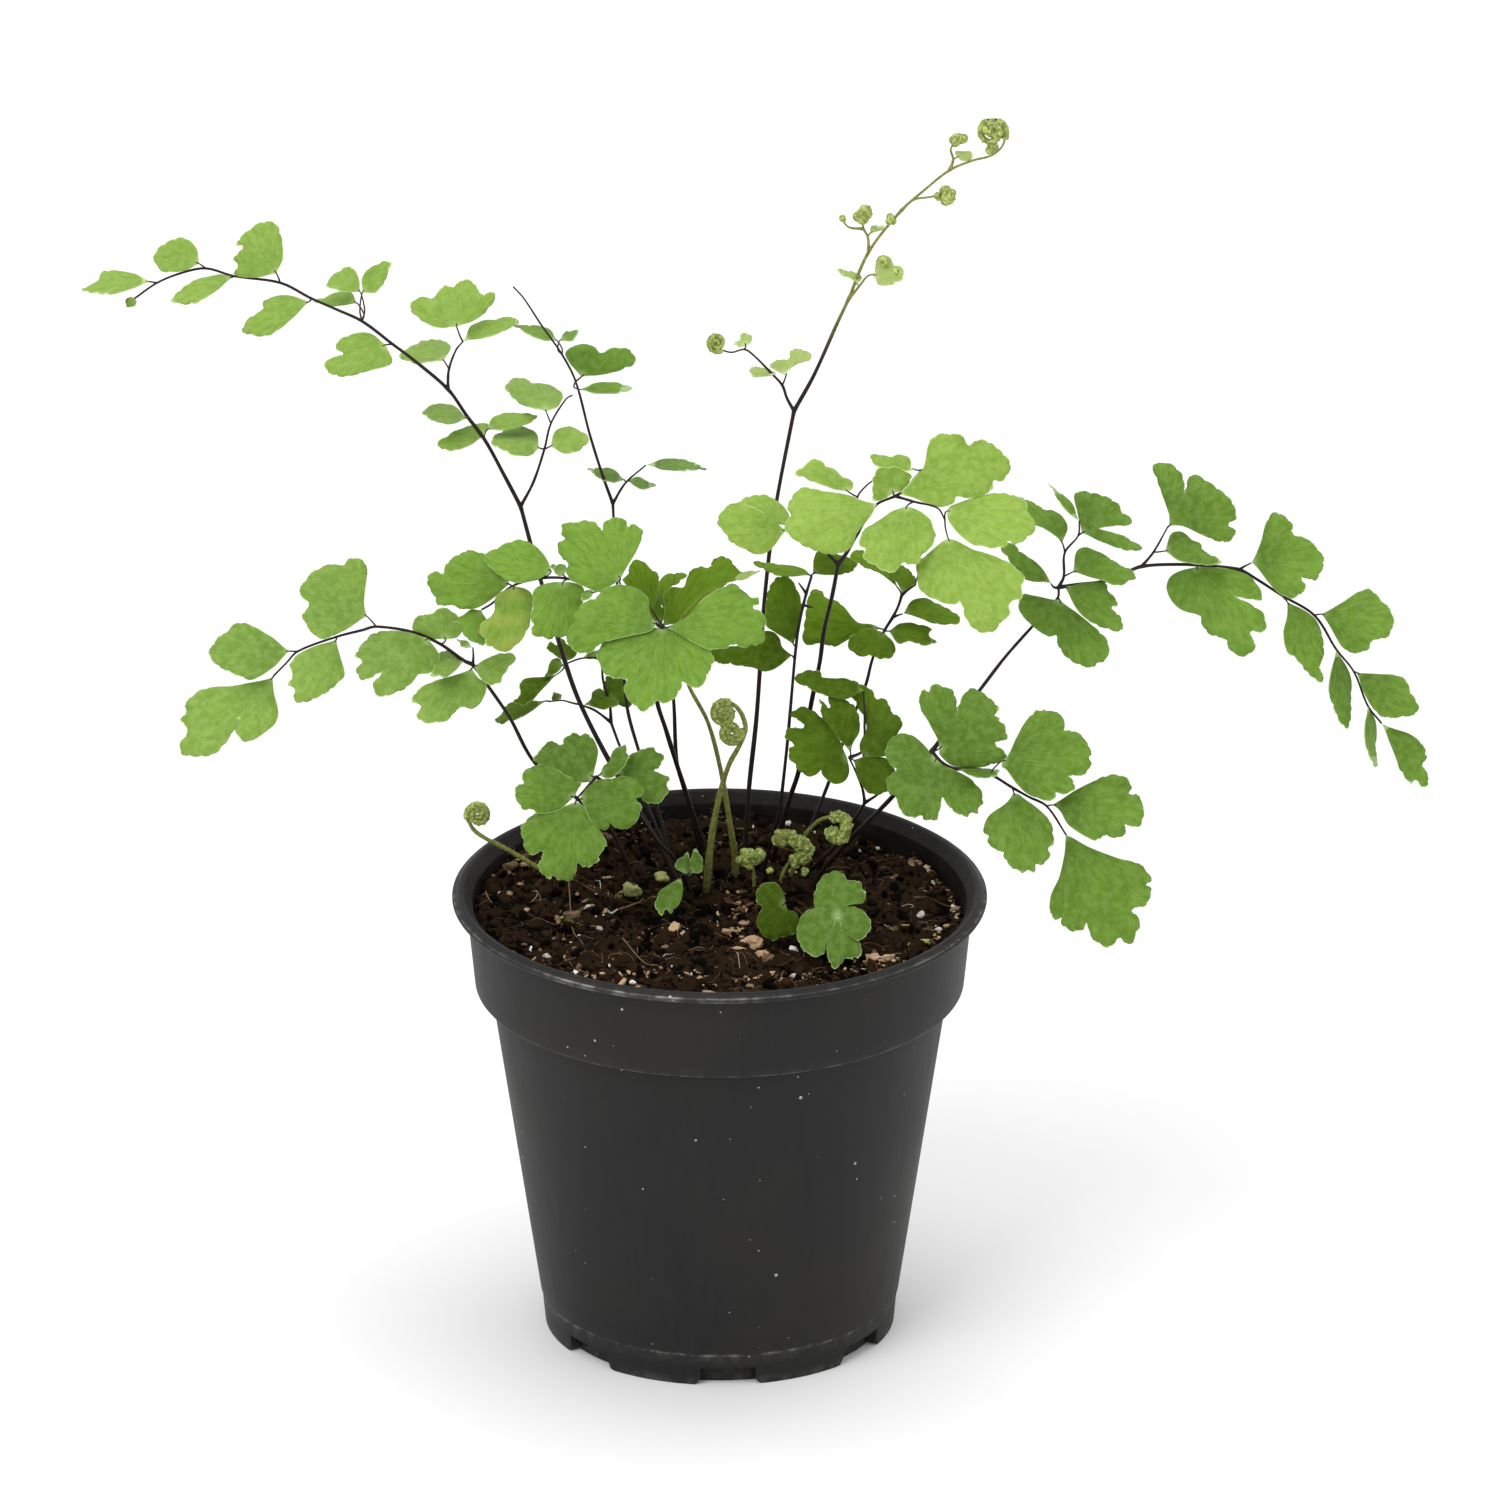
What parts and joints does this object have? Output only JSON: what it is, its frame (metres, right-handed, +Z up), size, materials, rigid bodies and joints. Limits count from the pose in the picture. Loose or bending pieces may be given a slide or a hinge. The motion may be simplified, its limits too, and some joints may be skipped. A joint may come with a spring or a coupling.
{
  "type": "potted fern",
  "caption": "Maidenhair fern with wiry stems and fan-shaped leaflets, growing in a round tapered nursery pot filled with dark potting mix.",
  "frame": {"origin": "centre of the pot's foot, on the surface it stands on", "axes": "+Z up along the pot's axis, -Y towards the viewer of the picture, +X to the viewer's right"},
  "size_m": [0.2642, 0.1176, 0.2417],
  "materials": {
    "pot_plastic": "matt moulded plastic with a little pale dust",
    "potting_mix": "dark crumbly peat and fine bark, matt",
    "leaf_yellow_green": "soft matt leaf with fine veins",
    "leaf_lime_green": "soft matt leaf with fine veins",
    "leaf_mid_green": "soft matt leaf with fine veins",
    "leaf_dark_green": "soft matt leaf with fine veins",
    "young_growth": "fuzzy olive young stem and furled tip",
    "stem_wire": "slender blackish brown stem with a slight gloss"
  },
  "bodies": {
    "root": {"pot": "pot_plastic", "soil": "potting_mix", "frond_upper_left": "leaf_yellow_green", "frond_thin_left": "leaf_mid_green", "frond_unfurling": "young_growth", "frond_left": "leaf_yellow_green", "frond_centre": "leaf_mid_green", "frond_back_centre": "leaf_dark_green", "young_stem": "young_growth", "frond_back_left": "leaf_dark_green", "frond_inner_right": "leaf_dark_green", "frond_back_right": "leaf_dark_green", "frond_bright": "leaf_lime_green", "frond_dark_front": "leaf_dark_green", "frond_right": "leaf_mid_green", "frond_front_left": "leaf_mid_green", "fiddlehead_left": "young_growth", "fiddlehead_double": "young_growth", "fiddlehead_arched": "young_growth", "furled_leaf": "young_growth", "bud_cluster": "young_growth", "seedling_left": "leaf_mid_green", "seedling_centre": "leaf_dark_green", "seedling_right": "leaf_mid_green"}
  },
  "joints": []
}
